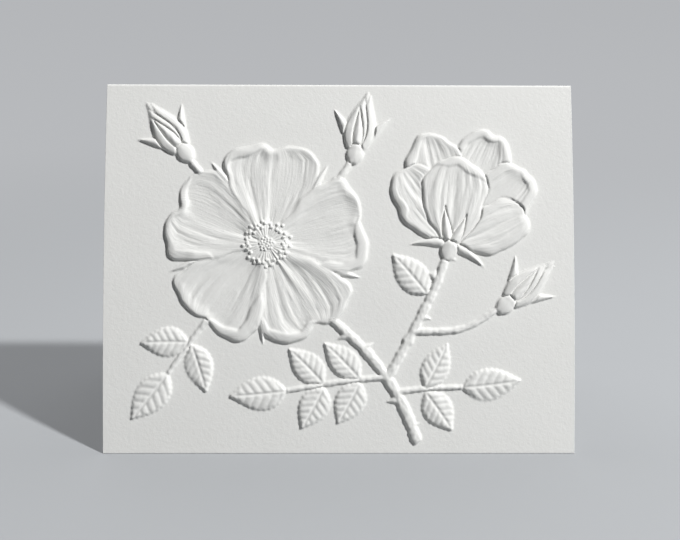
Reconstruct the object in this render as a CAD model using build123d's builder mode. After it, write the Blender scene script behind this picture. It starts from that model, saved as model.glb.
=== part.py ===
from build123d import *
import math
import os

# The folded sheet: heights run along the sheet, from its foot to where the two panels would meet
panel_width = 140.0
front_height = 111.0
paper = 0.5
lean_angle = 20.0
bow_rise = 2.0
fold_radius = 0.5

# How the relief is pressed: how deep a form's root sits in the paper, and one overrun for all cuts
bite = 0.3
overrun = 1.0

# The open rose
rose_height = 1.1
rose_petal_length = 30.0
rose_petal_width = 29.0
rose_petals = 5
rose_heading = 14
rose_overlap = 2.9
petal_dish = 0.55
eye_width = 11.0
eye_height = 0.85
eye_slope = 0.4
pistil_width = 4.6
pistil_height = 1.3
bead_width = 1.8
bead_height = 1.35
bead_ring_width = 7.9
beads = 10

# The half open rose, with a groove along each petal
cup_heading = 76
cup_height = 0.95
cup_step = 0.065
cup_petal_length = 37.0
cup_petal_width = 19.0
cup_overlap = 1.4
cup_hollows = 3
cup_grooves = 2
cup_sepal_turns = (66, -72)
groove_radius = 0.3
groove_depth = 0.14

# Buds, sepals and hips
bud_length = 18.0
bud_width = 9.5
bud_height = 1.1
bud_rise = 0.75
wrap_step = 0.22
sepal_length = 14.0
sepal_width = 3.2
sepal_height = 1.5
sepal_rise = 0.3
bud_sepal_turns = (-30, 4, 34)
hip_width = 5.4
hip_height = 1.65
hip_slope = 0.6

# Leaves, stems and prickles
leaf_length = 15.5
leaf_width = 9.0
leaf_height = 0.85
leaf_rise = 0.5
leaf_pitch = 10.8
leaf_root = 0.8
leaf_turn = 56
rib_radius = 0.35
rib_depth = 0.2
stem_width = 2.7
stem_tip_width = 2.1
twig_width = 1.7
stem_height = 0.85
stem_chamfer = 0.35
prickle_length = 2.6
prickle_width = 2.0
prickle_height = 0.6

# Outlines: along the form, and across it in half widths; a hollow's outline has straight sides
rose_petal_shares = [(0, 0.13), (0.3, 0.52), (0.58, 0.9), (0.84, 0.99), (0.97, 0.55), (1, 0.26), (0.94, 0)]
rose_hollow_shares = [(0.10, 0.16), (0.58, 0.88), (0.84, 0.94), (0.97, 0.50), (0.94, 0)]
cup_petal_shares = [(0, 0.22), (0.25, 0.7), (0.52, 0.98), (0.8, 0.88), (0.96, 0.4), (1, 0.18), (0.985, 0)]
cup_hollow_shares = [(0.12, 0.30), (0.52, 0.94), (0.80, 0.82), (0.97, 0)]
bud_shares = [(0, 0.40), (0.20, 0.95), (0.45, 0.92), (0.75, 0.52), (1.0, 0)]
bud_hollow_shares = [(0.02, 0.35), (0.25, 0.92), (0.50, 0.85), (0.90, 0)]
sepal_shares = [(0, 0.55), (0.35, 1.0), (1.0, 0)]
leaf_shares = [(0, 0.08), (0.42, 1.0), (1.0, 0)]
leaf_hollow_shares = [(0.02, 0), (0.28, 0.86), (0.58, 0.90), (0.97, 0)]
prickle_shares = [(0, 1.0), (1.0, 0)]

# Sizes of some forms as shares of the full ones
wrap_length_share = 0.9
wrap_width_share = 0.72
side_leaf_share = 0.92
end_leaf_share = 1.08

# Places on the front panel: across and up it, then a heading in degrees from the card's right
open_rose_share = (0.345, 0.56)
cup_rose_share = (0.735, 0.555)
bud_place_shares = [(0.535, 0.815, 78), (0.165, 0.815, 128), (0.86, 0.405, 42)]
leaf_place_shares = [(0.69, 0.42, 128)]
prickle_place_shares = [(0.648, 0.07, 28), (0.623, 0.145, 200), (0.705, 0.475, 175)]

# Sprays of leaves: where the stalk starts, its heading, and how many pairs of leaves it has
spray_place_shares = [(0.600, 0.205, 188, 2), (0.625, 0.165, 4, 1), (0.218, 0.352, 234, 1)]

stem_route_shares = [
    [(0.665, 0.035), (0.640, 0.115), (0.607, 0.19), (0.555, 0.275), (0.470, 0.375)],
    [(0.602, 0.20), (0.645, 0.30), (0.68, 0.385), (0.71, 0.465), (0.735, 0.56)],
]
twig_route_shares = [
    [(0.655, 0.325), (0.765, 0.335), (0.86, 0.405)],
    [(0.47, 0.70), (0.51, 0.755), (0.535, 0.815)],
    [(0.235, 0.72), (0.195, 0.765), (0.165, 0.815)],
]

# The half open rose's petals, back ones first: turn from its axis, share of length, share of width
cup_petal_shape_shares = [
    (-6, 1.0, 1.0), (24, 0.93, 0.95), (-32, 0.88, 0.95), (44, 0.74, 0.85), (-52, 0.68, 0.80), (8, 0.72, 1.05)
]

# The front panel is an arc in profile, and the back panel is straight
lean = math.radians(lean_angle)
arc_radius = front_height**2 / (8 * bow_rise) + bow_rise / 2
half_turn = math.asin(front_height / 2 / arc_radius)
foot_lift = paper / 2 * math.sin(lean - half_turn)
fold_z = foot_lift + front_height * math.cos(lean)
back_height = (fold_z - paper / 2 * math.sin(lean)) / math.cos(lean)
arc_y = arc_radius * math.cos(lean + half_turn)
arc_z = fold_z - arc_radius * math.sin(lean + half_turn)
on_base = (Align.CENTER, Align.CENTER, Align.MIN)


def seat(across_share, up_share, heading=0.0, length=0.0):
    """A plane with its origin at a form's root, touching the bowed panel under the form's middle."""
    turn = math.radians(heading)
    across = (across_share - 0.5) * panel_width + length / 2 * math.cos(turn)
    up_middle = up_share * front_height + length / 2 * math.sin(turn)
    tilt = lean + (2 * up_middle / front_height - 1) * half_turn
    reach = arc_radius + paper / 2
    right = Vector(1, 0, 0)
    up = Vector(0, math.sin(tilt), math.cos(tilt))
    along = right * math.cos(turn) + up * math.sin(turn)
    middle = Vector(across, arc_y - reach * math.cos(tilt), arc_z + reach * math.sin(tilt))
    return Plane(middle - along * (length / 2), x_dir=along, z_dir=right.cross(up))


def moved(plane, along, across=0.0, up=0.0):
    """The same plane with its origin shifted in its own directions."""
    return Plane(plane.from_local_coords((along, across, up)), x_dir=plane.x_dir, z_dir=plane.z_dir)


def mirrored(shares, length, width):
    """A half outline's points at their real size, then the same points on the other side."""
    half = [(u * length, v * width / 2) for u, v in shares]
    other = [(x, -y) for x, y in reversed(half) if y > 0]
    return half + other


def form_outline(place, shares, length, width):
    """A form's outline, rounded by an arc through each three points, just below the paper's face."""
    points = mirrored(shares, length, width)
    with BuildSketch(place.offset(-bite)) as flat:
        with BuildLine():
            for k in range(0, len(points) - 2, 2):
                ThreePointArc(points[k], points[k + 1], points[k + 2])
            Line(points[-1], points[0])
        make_face()
    return flat.sketch


def straight_outline(place, points, inset=0.0):
    """An outline with straight sides on a plane, drawn in by inset."""
    with BuildSketch(place) as flat:
        with BuildLine():
            Polyline(*points, close=True)
        make_face()
        if inset:
            offset(amount=-inset, kind=Kind.INTERSECTION, mode=Mode.REPLACE)
    return flat.sketch


def hollow_block(place, shares, length, width, height):
    """The space behind a form, from inside the card up to height, one sheet's thickness inside it."""
    low = paper + overrun
    points = mirrored(shares, length, width)
    return extrude(straight_outline(place.offset(-low), points, paper), amount=low + height)


def petal(place, shares, length, width, rim, aside, groove=False, behind=False):
    """A petal whose trough lies aside of its middle, so one edge stands over the next petal."""
    radius = width**2 / (8 * petal_dish) + petal_dish / 2
    floor = rim - petal_dish
    with BuildPart() as form:
        if behind:
            hollow_block(place, shares, length, width, rim)
            floor = floor - paper
        else:
            extrude(form_outline(place, shares, length, width), amount=bite + rim + petal_dish)
        with Locations(moved(place, length / 2, aside, floor + radius)):
            Cylinder(radius, 2 * length, rotation=(0, 90, 0), mode=Mode.SUBTRACT)
        if groove:
            with Locations(moved(place, length / 2, aside, floor + groove_radius - groove_depth)):
                Cylinder(groove_radius, 0.6 * length, rotation=(0, 90, 0), mode=Mode.SUBTRACT)
    return form.part


def rounded(place, shares, length, width, height, rise, behind=False):
    """A form with a rounded back along it, lower by rise at its widest edges."""
    radius = width**2 / (8 * rise) + rise / 2
    top = height - paper if behind else height
    with BuildPart() as form:
        if behind:
            hollow_block(place, shares, length, width, height)
        else:
            extrude(form_outline(place, shares, length, width), amount=bite + height)
        with Locations(moved(place, length / 2, 0, top - radius)):
            Cylinder(radius, 2 * length, rotation=(0, 90, 0), mode=Mode.INTERSECT)
    return form.part


def sepal(across, up, heading):
    """A narrow pointed sepal, one of the leaflets at a flower's root."""
    place = seat(across, up, heading, sepal_length)
    return rounded(place, sepal_shares, sepal_length, sepal_width, sepal_height, sepal_rise)


def hip(across, up, heading):
    """The round knob just below a flower's root, where it meets its stem."""
    turn = math.radians(heading)
    back = hip_width / 4
    place = moved(seat(across, up), -back * math.cos(turn), -back * math.sin(turn))
    with BuildPart() as form:
        with Locations(place.offset(-bite / 2)):
            Cone(hip_width / 2, hip_width / 2 - hip_slope, bite / 2 + hip_height, align=on_base)
    return form.part


def leaf(place, length, width):
    """A leaf with a rounded back and a groove along its middle."""
    with BuildPart() as form:
        add(rounded(place, leaf_shares, length, width, leaf_height, leaf_rise))
        with Locations(moved(place, 0.48 * length, 0, leaf_height + rib_radius - rib_depth)):
            Cylinder(rib_radius, 0.8 * length, rotation=(0, 90, 0), mode=Mode.SUBTRACT)
    return form.part


def leaf_hollow(place, length, width):
    """The space behind a leaf, with a flat top."""
    with BuildPart() as form:
        hollow_block(place, leaf_hollow_shares, length, width, leaf_height - paper - rib_depth)
    return form.part


def stem_piece(route, root_width, tip_width):
    """A curved, tapering length of stem through three places, its long edges chamfered."""
    middle = route[1]
    place = seat(*middle)
    line = [((across - middle[0]) * panel_width, (up - middle[1]) * front_height) for across, up in route]
    run = math.atan2(line[2][1] - line[0][1], line[2][0] - line[0][0])
    widths = (root_width, (root_width + tip_width) / 2, tip_width)
    left = [(x - math.sin(run) * w / 2, y + math.cos(run) * w / 2) for (x, y), w in zip(line, widths)]
    right = [(x + math.sin(run) * w / 2, y - math.cos(run) * w / 2) for (x, y), w in zip(line, widths)]
    with BuildPart() as form:
        with BuildSketch(place.offset(-bite)):
            with BuildLine():
                ThreePointArc(*left)
                ThreePointArc(*right)
                Line(left[0], right[0])
                Line(left[2], right[2])
            make_face()
        extrude(amount=bite + stem_height)
        top = form.faces().sort_by(lambda face: place.to_local_coords(face.center()).Z)[-1]
        chamfer(top.edges().sort_by(SortBy.LENGTH)[-2:], stem_chamfer)
    return form.part


def stem(route, root_width, tip_width):
    """Lengths of stem, one through each three places of the route."""
    count = (len(route) - 1) // 2
    widths = [root_width + (tip_width - root_width) * k / count for k in range(count + 1)]
    return [stem_piece(route[2 * k:2 * k + 3], widths[k], widths[k + 1]) for k in range(count)]


def along_spray(across, up, heading, steps):
    """The place a number of leaf pitches along a spray's stalk."""
    turn = math.radians(heading)
    reach = leaf_pitch * steps
    return across + reach * math.cos(turn) / panel_width, up + reach * math.sin(turn) / front_height


def stalk(across, up, heading, reach):
    """A spray's stalk, arched a little."""
    across_middle, up_middle = along_spray(across, up, heading, reach / 2)
    arched = (across_middle, up_middle + twig_width / 4 / front_height)
    return stem_piece([(across, up), arched, along_spray(across, up, heading, reach)], twig_width, twig_width)


def prickle(across, up, heading):
    """A short wedge beside a stem."""
    place = seat(across, up, heading, prickle_length)
    points = mirrored(prickle_shares, prickle_length, prickle_width)
    with BuildPart() as form:
        extrude(straight_outline(place.offset(-bite), points), amount=bite + prickle_height)
    return form.part


def joined(forms):
    """Forms fused one after the other."""
    with BuildPart() as whole:
        for form in forms:
            add(form)
    return whole.part


# The open rose: five petals, each over the next, round a beaded eye
rose_sizes = (rose_petal_length, rose_petal_width, rose_height, rose_overlap)
rose_headings = [rose_heading + 360 / rose_petals * k for k in range(rose_petals)]
rose_seats = [seat(*open_rose_share, heading, rose_petal_length) for heading in rose_headings]
open_rose = joined([petal(place, rose_petal_shares, *rose_sizes) for place in rose_seats])
rose_hollows = [petal(place, rose_hollow_shares, *rose_sizes, behind=True) for place in rose_seats]

eye = seat(*open_rose_share)
with BuildPart() as rose_eye:
    with Locations(eye.offset(-bite)):
        Cone(eye_width / 2, eye_width / 2 - eye_slope, bite + eye_height, align=on_base)
        Cone(pistil_width / 2, pistil_width / 2 - eye_slope, bite + pistil_height, align=on_base)
    with BuildSketch(eye):
        with PolarLocations(bead_ring_width / 2, beads):
            RegularPolygon(bead_width / 2, 6)
    extrude(amount=bead_height)
with BuildPart() as eye_hollow:
    with Locations(eye.offset(-paper - overrun)):
        Cylinder(eye_width / 2 - paper, overrun + eye_height, align=on_base)

# The half open rose, seen from its side, with two sepals and a hip at its root
cup_seats = []
for order, (turn, length_share, width_share) in enumerate(cup_petal_shape_shares):
    length = cup_petal_length * length_share
    place = seat(*cup_rose_share, cup_heading + turn, length)
    rim = cup_height + cup_step * order
    cup_seats.append((place, length, cup_petal_width * width_share, rim, math.copysign(cup_overlap, turn)))
cup_forms = [petal(place, cup_petal_shares, *sizes, groove=True) for place, *sizes in cup_seats[:cup_grooves]]
cup_forms.extend([petal(place, cup_petal_shares, *sizes) for place, *sizes in cup_seats[cup_grooves:]])
cup_forms.extend([sepal(*cup_rose_share, cup_heading + turn) for turn in cup_sepal_turns])
cup_rose = joined([*cup_forms, hip(*cup_rose_share, cup_heading)])
cup_rose_hollow = joined(
    [petal(place, cup_hollow_shares, *sizes, behind=True) for place, *sizes in cup_seats[:cup_hollows]]
)

# Buds: an egg wrapped by one petal, with sepals and a hip at its root
buds = []
bud_hollows = []
for across, up, heading in bud_place_shares:
    place = seat(across, up, heading, bud_length)
    wrap = moved(place, 0, bud_width / 8)
    length = wrap_length_share * bud_length
    width = wrap_width_share * bud_width
    bud_forms = [
        rounded(place, bud_shares, bud_length, bud_width, bud_height, bud_rise),
        rounded(wrap, bud_shares, length, width, bud_height + wrap_step, bud_rise),
    ]
    bud_forms.extend([sepal(across, up, heading + turn) for turn in bud_sepal_turns])
    buds.append(joined([*bud_forms, hip(across, up, heading)]))
    bud_hollows.append(rounded(place, bud_hollow_shares, bud_length, bud_width, bud_height, bud_rise, True))

# Leaves: paired along a stalk, with a larger one at its end
leaf_seats = [(place, 1) for place in leaf_place_shares]
for across, up, heading, pairs in spray_place_shares:
    for k in range(pairs):
        root = along_spray(across, up, heading, k + 0.7)
        leaf_seats.extend([((*root, heading + turn), side_leaf_share) for turn in (leaf_turn, -leaf_turn)])
    leaf_seats.append(((*along_spray(across, up, heading, pairs + 0.7), heading), end_leaf_share))
leaves = []
leaf_hollows = []
for place, size in leaf_seats:
    length = leaf_length * size
    root = moved(seat(*place, length), leaf_root)
    leaves.append(leaf(root, length, leaf_width * size))
    leaf_hollows.append(leaf_hollow(root, length, leaf_width * size))

# Stems, stalks and prickles
stem_forms = []
for route in stem_route_shares:
    stem_forms.extend(stem(route, stem_width, stem_tip_width))
for route in twig_route_shares:
    stem_forms.extend(stem(route, twig_width, twig_width))
stem_forms.extend([stalk(*place, pairs + 0.7) for *place, pairs in spray_place_shares])
stem_forms.extend([prickle(*place) for place in prickle_place_shares])
stems = joined(stem_forms)

# The sheet is drawn in profile and carries the relief, and the hollows behind it keep the paper thin
with BuildPart() as folded_card:
    with BuildSketch(Plane.YZ.offset(-panel_width / 2)):
        with BuildLine() as middle:
            foot = (-front_height * math.sin(lean), foot_lift)
            belly = (arc_y - arc_radius * math.cos(lean), arc_z + arc_radius * math.sin(lean))
            ThreePointArc(foot, belly, (0, fold_z))
            Line((0, fold_z), (back_height * math.sin(lean), fold_z - back_height * math.cos(lean)))
            fillet(middle.vertices().sort_by(Axis.Y)[-1], fold_radius)
        trace(line_width=paper)
    extrude(amount=panel_width)
    for form in [*leaves, *stems.solids(), *buds, open_rose, rose_eye.part, cup_rose]:
        add(form)
    for form in [*rose_hollows, eye_hollow.part, cup_rose_hollow, *bud_hollows, *leaf_hollows]:
        add(form, mode=Mode.SUBTRACT)

os.makedirs("parts", exist_ok=True)
folded_card.part.label = "folded_card"
export_step(folded_card.part, "parts/folded_card.step")
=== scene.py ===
# %% [markdown]
# # A blind embossed greeting card
# The card is one sheet of thick cotton paper, pressed between a sculpted die and its counter,
# scored, folded along its top and stood up like a tent. No ink is used, so light and shade draw
# the rose spray. The lesson follows the maker: press the relief into a flat sheet, raise the
# small beads, fold the sheet by rule, then give it paper and light.

# %% Load the measured frame
import math
from functools import partial
import bpy
import mathutils
import numpy as np
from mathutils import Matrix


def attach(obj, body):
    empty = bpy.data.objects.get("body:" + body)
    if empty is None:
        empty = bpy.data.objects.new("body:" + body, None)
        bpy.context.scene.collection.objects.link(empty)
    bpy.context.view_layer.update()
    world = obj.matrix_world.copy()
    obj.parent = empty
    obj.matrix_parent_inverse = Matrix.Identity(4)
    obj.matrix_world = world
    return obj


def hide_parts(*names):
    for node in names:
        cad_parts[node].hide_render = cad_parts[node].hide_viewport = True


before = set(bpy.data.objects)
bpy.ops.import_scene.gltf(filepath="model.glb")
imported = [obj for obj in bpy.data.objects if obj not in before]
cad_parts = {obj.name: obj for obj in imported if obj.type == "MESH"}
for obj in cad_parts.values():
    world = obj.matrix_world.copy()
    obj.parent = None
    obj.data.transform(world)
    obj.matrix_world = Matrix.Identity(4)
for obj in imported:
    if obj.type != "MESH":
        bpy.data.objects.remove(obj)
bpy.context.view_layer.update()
MM = 0.001


def placed(name, data):
    """A new object in the scene."""
    thing = bpy.data.objects.new(name, data)
    bpy.context.scene.collection.objects.link(thing)
    return thing


# %% [markdown]
# ## The sheet's sizes
# These are the sizes of the CAD part. The front panel bows out a little between its foot and the
# fold, so in profile it is an arc. The fold is a second, very tight arc, and the back is straight.
# Where the arcs meet is worked out here once, so that the fold later needs only a few numbers.

# %% Sizes of the sheet, in millimetres
panel_width = 140.0
front_height = 111.0
paper = 0.5
lean = math.radians(20.0)
bow_rise = 2.0
fold_radius = 0.5

bow_radius = front_height**2 / (8 * bow_rise) + bow_rise / 2
half_turn = math.asin(front_height / 2 / bow_radius)
foot_angle = lean - half_turn
top_angle = lean + half_turn
foot_lift = paper / 2 * math.sin(foot_angle)
fold_z = foot_lift + front_height * math.cos(lean)
back_length = (fold_z - paper / 2 * math.sin(lean)) / math.cos(lean)
bow_centre = np.array([bow_radius * math.cos(top_angle), fold_z - bow_radius * math.sin(top_angle)])

# The fold's arc touches the bow and the back from within, so its centre lies where a line beside
# the back meets a circle inside the bow. It takes up the first bit of the back, here called trim.
back_normal = np.array([math.cos(lean), math.sin(lean)])
down_back = np.array([math.sin(lean), -math.cos(lean)])
corner = np.array([0.0, fold_z]) - fold_radius * back_normal - bow_centre
along = corner @ down_back
trim = -along - math.sqrt(along**2 - corner @ corner + (bow_radius - fold_radius)**2)
fold_centre = corner + trim * down_back
fold_start_angle = math.atan2(fold_centre[1], -fold_centre[0])
fold_angle = math.pi - lean - fold_start_angle
front_run = bow_radius * (fold_start_angle - foot_angle)
fold_run = fold_radius * fold_angle
back_run = back_length - trim
print(f"front {front_run:.2f} mm, fold {fold_run:.2f} mm, back {back_run:.2f} mm of sheet")

# %% [markdown]
# ## A height field for the relief
# A sculpted die has no separate pieces, only a height at each place. The same idea works here: a
# grid of heights over the front panel, into which each petal, leaf and stem is pressed in turn.
# Modelling petals as separate meshes would need joining later, and paper has no such joins.

# %% The grid over the front panel
COLUMNS, ROWS = 56, 44
STEP = 16  # height samples along one coarse cell of the mesh
below_fold = 0.3  # height of the last row of cells, next to the fold
across_mm = np.linspace(-panel_width / 2, panel_width / 2, COLUMNS * STEP + 1)
row_marks = [0, (ROWS - 1) * STEP, ROWS * STEP]
up_mm = np.interp(np.arange(ROWS * STEP + 1), row_marks, [0, front_run - below_fold, front_run])
grid_x, grid_y = np.meshgrid(across_mm, up_mm)
relief, grain_along, grain_across = np.zeros((3, *grid_x.shape))
sample = across_mm[1] - across_mm[0]
chance = np.random.default_rng(11)
print("height samples:", relief.shape, "every", round(sample, 3), "mm")


def spot(across, up):
    """A place on the panel from its shares of the width and height."""
    return np.array([(across - 0.5) * panel_width, up * front_height])


def toward(heading):
    """The direction of a heading: 0 degrees is to the right on the panel, and 90 is up."""
    turn = math.radians(heading)
    return np.array([math.cos(turn), math.sin(turn)])


def ramp(low, high, value):
    """0 below low, 1 above high, and a soft step between."""
    t = np.clip((value - low) / (high - low), 0, 1)
    return t * t * (3 - 2 * t)


# %% [markdown]
# ## Outlines and distances
# Each form starts as an outline through a few points, as a die cutter would draw it. The distance
# from that outline tells how far a place is inside the form, and so where its wall, its rolled rim
# and its middle lie. This one number shapes most of the relief.

# %% Smooth lines and the distance inside them
def smooth_line(points, closed=True, steps=8):
    """A smooth line through the points."""
    p = np.array(points, float)
    if closed:
        before, after, later = np.roll(p, 1, 0), np.roll(p, -1, 0), np.roll(p, -2, 0)
        spans = len(p)
    else:
        before = np.vstack([2 * p[0] - p[1], p[:-1]])
        after = np.vstack([p[1:], p[-1]])
        later = np.vstack([p[2:], 2 * p[-1] - p[-2], p[-1]])
        spans = len(p) - 1
    line = []
    for a, b, c, d in list(zip(before, p, after, later))[:spans]:
        for t in np.arange(steps) / steps:
            curve = (2 * a - 5 * b + 4 * c - d) * t**2 + (3 * b - a - 3 * c + d) * t**3
            line.append(0.5 * (2 * b + (c - a) * t + curve))
    if not closed:
        line.append(p[-1])
    return np.array(line)


def inside_distance(loop, x, y):
    """Distance to a closed line, above zero inside it."""
    nearest = np.full(x.shape, 1e9)
    inside = np.zeros(x.shape, bool)
    for (ax, ay), (bx, by) in zip(loop, np.roll(loop, -1, 0)):
        ex, ey = bx - ax, by - ay
        t = np.clip(((x - ax) * ex + (y - ay) * ey) / (ex * ex + ey * ey + 1e-12), 0, 1)
        nearest = np.minimum(nearest, (x - ax - t * ex)**2 + (y - ay - t * ey)**2)
        if ey:
            inside ^= ((ay <= y) != (by <= y)) & (x < ax + (y - ay) / ey * ex)
    return np.where(inside, 1, -1) * np.sqrt(nearest)


def run_round(loop):
    """How far along a closed line each point lies, and last the whole way round."""
    steps = np.diff(loop, axis=0, append=loop[:1])
    return np.concatenate([[0], np.cumsum(np.linalg.norm(steps, axis=1))])


def square_to(loop):
    """The direction out of a closed line at each of its points."""
    ahead = np.roll(loop, -1, 0) - np.roll(loop, 1, 0)
    ahead /= np.linalg.norm(ahead, axis=1, keepdims=True) + 1e-9
    return np.stack([-ahead[:, 1], ahead[:, 0]], 1)


unit_square = np.array([(0, 0), (0, 1), (1, 1), (1, 0)], float)
print("way round a unit square:", run_round(unit_square)[-1])

# %% [markdown]
# ## A form and how it is pressed
# A form keeps its root, heading, length and width, so that every place in it has three plain
# numbers: `u` from root to tip, `v` across in half widths, and `w` across as a share of the
# outline there. Furrows that keep the same `w` run from root to rim and fan out, as in a petal.

# %% The form class and the press
class Form:
    """An outline lying on the sheet, with its own directions."""

    def __init__(self, root, heading, length, width, left, right=None, bend=0.0):
        self.root = np.array(root, float)
        self.ahead = toward(heading)
        self.length, self.width, self.bend = length, width, bend
        self.sides = [np.array(side, float) for side in (left, left if right is None else right)]
        other = [(u, -v) for u, v in self.sides[1][::-1] if v > 0]
        self.loop = smooth_line([self.at(u, v) for u, v in [*self.sides[0], *other]])

    def at(self, u, v):
        """The place on the sheet of a point in the form."""
        a = u * self.length
        b = v * self.width / 2 + self.bend * self.length * u * u
        c, s = self.ahead
        return self.root + np.array([a * c - b * s, a * s + b * c])

    def local(self, x, y):
        """u, v and w of places on the sheet."""
        c, s = self.ahead
        dx, dy = x - self.root[0], y - self.root[1]
        u = (dx * c + dy * s) / self.length
        v = (dy * c - dx * s - self.bend * self.length * u * u) / (self.width / 2)
        sides = [np.interp(u, np.maximum.accumulate(side[:, 0]), side[:, 1]) for side in self.sides]
        return u, v, v / np.maximum(np.where(v > 0, *sides), 0.12)


def window_of(points, margin):
    """The part of the grid that holds the points and a margin round them."""
    low, high = points.min(0) - margin, points.max(0) + margin
    i = np.searchsorted(across_mm, [low[0], high[0]])
    j = np.searchsorted(up_mm, [low[1], high[1]])
    return slice(*j), slice(*i)


def press(form, height, over=True, grained=False):
    """Press a form into the relief, over what is there, or only where it is the higher one."""
    softness = 0.16
    window = window_of(form.loop, 2)
    x, y = grid_x[window], grid_y[window]
    d = inside_distance(form.loop, x, y)
    cover = ramp(-softness, softness, d)
    u, v, w = form.local(x, y)
    top = height(u, v, w, np.maximum(d, 0)) * cover
    below = relief[window]
    wins = d > 0 if over else (d > 0) & (top >= below)
    for field, run in ((grain_along, u * form.length), (grain_across, w * form.width / 2)):
        field[window] = np.where(wins, run if grained else 0, field[window])
    relief[window] = below * (1 - cover) + top if over else np.maximum(below, top)


def wall(d, width):
    """The rounded wall at a form's edge, 0 at the outline and 1 well inside it."""
    return 1 - np.exp(-d / width)


def hill(x, width):
    """1 where x is 0, and soft slopes down to 0 on both sides."""
    return np.exp(-(x / width)**2)


def off_middle(w):
    """0 on a form's middle line and 1 at its sides."""
    return np.clip(np.abs(w), 0, 1)


print("a wall 0.25 mm wide has risen to", round(float(wall(0.5, 0.25)), 2), "of its height 0.5 mm inside")

# %% [markdown]
# ## Petals
# A wild rose's petal is a shallow spoon with a ruffled rim, parts of which turn back. Waves of
# unlike lengths round the rim make the ruffles, and soft random patches, drawn out from root to
# rim, make furrows that come and go. Short, narrow cuts follow them, as a carver's tool leaves
# them in the die. Equal waves alone would look machined.

# %% Petals
table = chance.uniform(-1, 1, (64, 64))


def patches(x, y):
    """Soft random patches, one to each unit of x and y, about -1 to 1."""
    i, j = np.floor(x).astype(int), np.floor(y).astype(int)
    s, t = ramp(0, 1, x - i), ramp(0, 1, y - j)
    low = table[j % 64, i % 64] * (1 - s) + table[j % 64, (i + 1) % 64] * s
    high = table[(j + 1) % 64, i % 64] * (1 - s) + table[(j + 1) % 64, (i + 1) % 64] * s
    return low * (1 - t) + high * t


def furrows(u, w, seed):
    """Furrows along a form, broad ones with finer ones on them."""
    sway = 0.05 * np.sin(4 * u + seed)
    total = 0.0
    for count, size in ((3.1, 1.0), (6.3, 0.8), (12.0, 0.5), (21.0, 0.28)):
        total = total + size * patches(count * (w + sway) + 31.7 * seed, (1 + count / 8) * u + 7.3 * seed)
    return total / 1.3


def strokes(u, w, seed, depth=0.14):
    """Short, narrow cuts of a carver's tool along a form."""
    sway = 0.04 * np.sin(5 * u + seed)
    long_cuts = ramp(0.25, 0.8, patches(17 * (w + sway) + 5.1 * seed, 3.6 * u + seed))
    short_cuts = ramp(0.3, 0.85, patches(29 * (w + sway) + 9.7 * seed, 6.5 * u + 2 * seed))
    return depth * (long_cuts + 0.7 * short_cuts)


def wavy(loop, seed):
    """The outline with soft, uneven waves in it."""
    size = 0.35
    run = run_round(loop)[:-1]
    lengths = [(1, 13, 3), (0.5, 7.3, 7), (0.12, 4.1, 11)]
    waves = sum(share * np.sin(2 * math.pi * run / mm + shift * seed) for share, mm, shift in lengths)
    from_root = np.minimum(run, run[-1] - run)
    return loop - square_to(loop) * (size * waves * ramp(4, 10, from_root))[:, None]


def petal(form, rim, dish, tilt, shoulder, ruffle, furrow, lips, over=True):
    """A spoon-shaped petal with a ruffled rim, one side higher by tilt, and lips that turn back."""
    seed, *phases = chance.uniform(0, 2 * math.pi, 5)
    form.loop = wavy(form.loop, seed)

    def height(u, v, w, d):
        w = np.clip(w, -1.2, 1.2)
        round_rim = np.arctan2(v * form.width / 2, (u - 0.45) * form.length)
        outer = ramp(0.35, 0.95, u)
        bowl = dish * (1 - off_middle(w)**2.2) * ramp(0.02, 0.4, u) * ramp(0.2, 4.2, d)
        ruffles = np.sin(2.6 * round_rim + phases[0]) + 0.55 * np.sin(5.7 * round_rim + phases[1])
        waves = ruffle * ruffles * outer * (1 - 0.6 * ramp(0.5, 7, d))
        bead = (0.13 + 0.08 * np.sin(3.3 * round_rim + phases[2])) * hill(d - 0.4, 0.28) * outer
        crease = 0.24 * hill(w + 0.05 * np.sin(5 * u), 0.09) * ramp(0.5, 1.5, d) * (1 - ramp(0.5, 0.95, u))
        carved = ramp(0.5, 2.2, d) * ramp(-0.25, 0.35, u) * (1 - 0.4 * ramp(0.8, 1, u))
        fine = carved * (furrow * furrows(u, w, seed) - strokes(u, w, seed))
        surface = rim + tilt * w - bowl + waves + bead - crease + fine - shoulder * np.exp(-d / 1.3)
        for middle, half, width, lift in lips:
            share = (round_rim - middle) / half
            band = width * np.clip(1 - share**2, 0, 1) * (1 + 0.1 * np.sin(5 * share + seed)) + 1e-6
            across = np.clip((d - 0.5 * band) / (0.5 * band), -1, 1)
            turned_back = np.sqrt(1 - across**4) * ramp(0, 0.5, band)
            surface = surface + (lift + 0.6 * bowl - 0.8 * fine) * turned_back
        return np.maximum(surface, 0.06) * wall(d, 0.28)

    press(form, height, over=over, grained=True)


petal_left = [
    (0, 0.13), (0.15, 0.30), (0.30, 0.52), (0.45, 0.74), (0.60, 0.91), (0.74, 1.0),
    (0.87, 0.93), (0.955, 0.66), (0.99, 0.38), (0.975, 0.16), (0.945, 0)
]
petal_right = [
    (0, 0.13), (0.15, 0.30), (0.30, 0.52), (0.45, 0.74), (0.60, 0.90), (0.74, 0.97),
    (0.86, 0.96), (0.94, 0.74), (1.0, 0.44), (0.985, 0.20), (0.945, 0)
]
cup_outline = [
    (0, 0.20), (0.12, 0.42), (0.25, 0.70), (0.40, 0.90), (0.54, 0.99), (0.70, 0.95),
    (0.83, 0.80), (0.93, 0.54), (0.985, 0.26), (1.0, 0)
]
cup_outline_b = [
    (0, 0.20), (0.12, 0.44), (0.25, 0.68), (0.40, 0.86), (0.54, 0.95), (0.70, 0.99),
    (0.84, 0.88), (0.94, 0.60), (0.99, 0.24), (0.985, 0)
]
print("petal outlines have", len(petal_left), "and", len(cup_outline), "points a side")

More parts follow.
